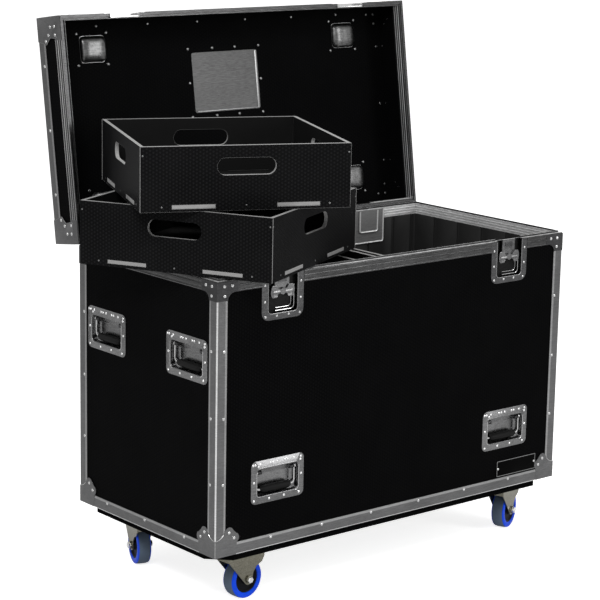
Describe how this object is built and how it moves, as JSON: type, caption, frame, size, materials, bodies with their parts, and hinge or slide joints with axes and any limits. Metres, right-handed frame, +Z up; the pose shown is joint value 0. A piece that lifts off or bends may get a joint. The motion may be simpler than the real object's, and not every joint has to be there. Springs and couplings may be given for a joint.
{
  "type": "utility trunk case on casters",
  "caption": "Black laminate road trunk with metal edges, recessed handles, butterfly latches, casters, an open hinged lid, lift-out dividers and two stacked slotted trays",
  "frame": {"origin": "centre of the case's bounding box on the floor, lid open and trays in place", "axes": "+X to the case's right as seen from the front, +Y to the back where the hinges are, +Z up"},
  "size_m": [1.2926, 0.8614, 1.3794],
  "materials": {
    "black_laminate": "black laminate pressed with fine hexagons",
    "dark_lining": "dull dark board",
    "bare_ply_edge": "dark faced plywood with light edges",
    "brushed_aluminium": "ribbed, brushed extrusion",
    "bright_zinc": "zinc plated pressed steel",
    "olive_zinc": "yellowed zinc plate on pressed steel",
    "blue_tyre": "smooth blue tyre",
    "black_rubber": "moulded black grip"
  },
  "bodies": {
    "base": {"front_panel": "black_laminate", "back_panel": "black_laminate", "left_panel": "black_laminate", "right_panel": "black_laminate", "floor_panel": "dark_lining", "base_rim": "brushed_aluminium", "base_edge_frame": "brushed_aluminium", "caster_board": "dark_lining", "handle_dish_front_left": "bright_zinc", "handle_dish_front_right": "bright_zinc", "handle_dish_left_end_front": "bright_zinc", "handle_dish_left_end_back": "bright_zinc", "handle_dish_right_end_front": "bright_zinc", "handle_dish_right_end_back": "bright_zinc", "latch_dish_left": "bright_zinc", "latch_dish_right": "bright_zinc", "hinge_dish_left": "bright_zinc", "hinge_dish_right": "bright_zinc", "caster_plate_front_left": "olive_zinc", "caster_plate_front_right": "olive_zinc", "caster_plate_back_left": "olive_zinc", "caster_plate_back_right": "olive_zinc"},
    "lid": {"lid_top_panel": "black_laminate", "lid_walls": "black_laminate", "lid_rim": "brushed_aluminium", "lid_edge_frame": "brushed_aluminium", "wheel_cup_front_left": "bright_zinc", "wheel_cup_back_left": "bright_zinc", "wheel_cup_front_right": "bright_zinc", "wheel_cup_back_right": "bright_zinc", "label_dish": "brushed_aluminium", "keeper_left": "bright_zinc", "keeper_right": "bright_zinc", "lid_hinge_left": "bright_zinc", "lid_hinge_right": "bright_zinc"},
    "bail_front_left": {"handle_bail_front_left": "black_rubber"},
    "bail_front_right": {"handle_bail_front_right": "black_rubber"},
    "bail_left_end_front": {"handle_bail_left_end_front": "black_rubber"},
    "bail_left_end_back": {"handle_bail_left_end_back": "black_rubber"},
    "bail_right_end_front": {"handle_bail_right_end_front": "black_rubber"},
    "bail_right_end_back": {"handle_bail_right_end_back": "black_rubber"},
    "latch_wing_left": {"latch_wing_left": "bright_zinc"},
    "latch_hook_left": {"latch_hook_left": "bright_zinc"},
    "latch_wing_right": {"latch_wing_right": "bright_zinc"},
    "latch_hook_right": {"latch_hook_right": "bright_zinc"},
    "caster_fork_front_left": {"fork_front_left": "olive_zinc"},
    "caster_wheel_front_left": {"wheel_front_left": "blue_tyre"},
    "caster_fork_front_right": {"fork_front_right": "olive_zinc"},
    "caster_wheel_front_right": {"wheel_front_right": "blue_tyre"},
    "caster_fork_back_left": {"fork_back_left": "olive_zinc"},
    "caster_wheel_back_left": {"wheel_back_left": "blue_tyre"},
    "caster_fork_back_right": {"fork_back_right": "olive_zinc"},
    "caster_wheel_back_right": {"wheel_back_right": "blue_tyre"},
    "divider_centre": {"divider_centre": "bare_ply_edge"},
    "divider_beside": {"divider_beside": "bare_ply_edge"},
    "divider_left": {"divider_left": "bare_ply_edge"},
    "lower_tray": {"lower_tray_walls": "black_laminate", "lower_tray_floor": "bare_ply_edge"},
    "upper_tray": {"upper_tray_walls": "black_laminate", "upper_tray_floor": "bare_ply_edge"}
  },
  "joints": [
    {"name": "lid_hinge", "type": "hinge", "parent": "base", "child": "lid", "pos_m": [0.07364, 0.24177, 0.8166], "axis": [1, 0, 0], "range_deg": [0, 98.3]},
    {"name": "bail_front_left_swing", "type": "hinge", "parent": "base", "child": "bail_front_left", "pos_m": [-0.31036, -0.31573, 0.3333], "axis": [-1, 0, 0], "range_deg": [0, 90], "stiffness_Nm_per_rad": 0.3},
    {"name": "bail_front_right_swing", "type": "hinge", "parent": "base", "child": "bail_front_right", "pos_m": [0.45764, -0.31573, 0.3333], "axis": [-1, 0, 0], "range_deg": [0, 90], "stiffness_Nm_per_rad": 0.3},
    {"name": "bail_left_end_front_swing", "type": "hinge", "parent": "base", "child": "bail_left_end_front", "pos_m": [-0.48736, -0.20823, 0.6368], "axis": [0, 1, 0], "range_deg": [0, 90], "stiffness_Nm_per_rad": 0.3},
    {"name": "bail_left_end_back_swing", "type": "hinge", "parent": "base", "child": "bail_left_end_back", "pos_m": [-0.48736, 0.12377, 0.6368], "axis": [0, 1, 0], "range_deg": [0, 90], "stiffness_Nm_per_rad": 0.3},
    {"name": "bail_right_end_front_swing", "type": "hinge", "parent": "base", "child": "bail_right_end_front", "pos_m": [0.63464, -0.20823, 0.6368], "axis": [0, -1, 0], "range_deg": [0, 90], "stiffness_Nm_per_rad": 0.3},
    {"name": "bail_right_end_back_swing", "type": "hinge", "parent": "base", "child": "bail_right_end_back", "pos_m": [0.63464, 0.12377, 0.6368], "axis": [0, -1, 0], "range_deg": [0, 90], "stiffness_Nm_per_rad": 0.3},
    {"name": "latch_wing_left_turn", "type": "hinge", "parent": "base", "child": "latch_wing_left", "pos_m": [-0.30286, -0.32623, 0.7723], "axis": [0, -1, 0], "range_deg": [0, 180]},
    {"name": "latch_hook_left_lift", "type": "slide", "parent": "base", "child": "latch_hook_left", "axis": [0, 0, 1], "range_m": [0, 0.01]},
    {"name": "latch_wing_right_turn", "type": "hinge", "parent": "base", "child": "latch_wing_right", "pos_m": [0.45014, -0.32623, 0.7723], "axis": [0, -1, 0], "range_deg": [0, 180]},
    {"name": "latch_hook_right_lift", "type": "slide", "parent": "base", "child": "latch_hook_right", "axis": [0, 0, 1], "range_m": [0, 0.01]},
    {"name": "caster_front_left_swivel", "type": "hinge", "parent": "base", "child": "caster_fork_front_left", "pos_m": [-0.38186, -0.25023, 0.129], "axis": [0, 0, 1], "continuous": true},
    {"name": "caster_front_left_roll", "type": "hinge", "parent": "caster_fork_front_left", "child": "caster_wheel_front_left", "pos_m": [-0.35297, -0.2477, 0.05], "axis": [0.0872, -0.9962, 0], "continuous": true},
    {"name": "caster_front_right_swivel", "type": "hinge", "parent": "base", "child": "caster_fork_front_right", "pos_m": [0.52914, -0.25023, 0.129], "axis": [0, 0, 1], "continuous": true},
    {"name": "caster_front_right_roll", "type": "hinge", "parent": "caster_fork_front_right", "child": "caster_wheel_front_right", "pos_m": [0.55583, -0.2389, 0.05], "axis": [0.3907, -0.9205, 0], "continuous": true},
    {"name": "caster_back_left_swivel", "type": "hinge", "parent": "base", "child": "caster_fork_back_left", "pos_m": [-0.39986, 0.13277, 0.129], "axis": [0, 0, 1], "continuous": true},
    {"name": "caster_back_left_roll", "type": "hinge", "parent": "caster_fork_back_left", "child": "caster_wheel_back_left", "pos_m": [-0.4093, 0.10535, 0.05], "axis": [-0.9455, 0.3256, 0], "continuous": true},
    {"name": "caster_back_right_swivel", "type": "hinge", "parent": "base", "child": "caster_fork_back_right", "pos_m": [0.54714, 0.13277, 0.129], "axis": [0, 0, 1], "continuous": true},
    {"name": "caster_back_right_roll", "type": "hinge", "parent": "caster_fork_back_right", "child": "caster_wheel_back_right", "pos_m": [0.56164, 0.15788, 0.05], "axis": [0.866, -0.5, 0], "continuous": true},
    {"name": "divider_centre_lift", "type": "slide", "parent": "base", "child": "divider_centre", "axis": [0, 0, -1], "range_m": [-0.6, 0]},
    {"name": "divider_beside_lift", "type": "slide", "parent": "base", "child": "divider_beside", "axis": [0, 0, -1], "range_m": [-0.6, 0]},
    {"name": "divider_left_lift", "type": "slide", "parent": "base", "child": "divider_left", "axis": [0, 0, -1], "range_m": [-0.015, 0]},
    {"name": "lower_tray_draw", "type": "slide", "parent": "base", "child": "lower_tray", "axis": [0, -1, 0], "range_m": [0, 0.7725]},
    {"name": "upper_tray_lift", "type": "slide", "parent": "lower_tray", "child": "upper_tray", "axis": [0, 0, -1], "range_m": [-0.2, 0]}
  ],
  "couplings": [
    {"joint": "latch_wing_left_turn", "follows": "latch_hook_left_lift", "rad_per_m": 314},
    {"joint": "latch_wing_right_turn", "follows": "latch_hook_right_lift", "rad_per_m": 314},
    {"joint": "lower_tray_draw", "follows": "lid_hinge", "m_per_rad": 0.45}
  ]
}
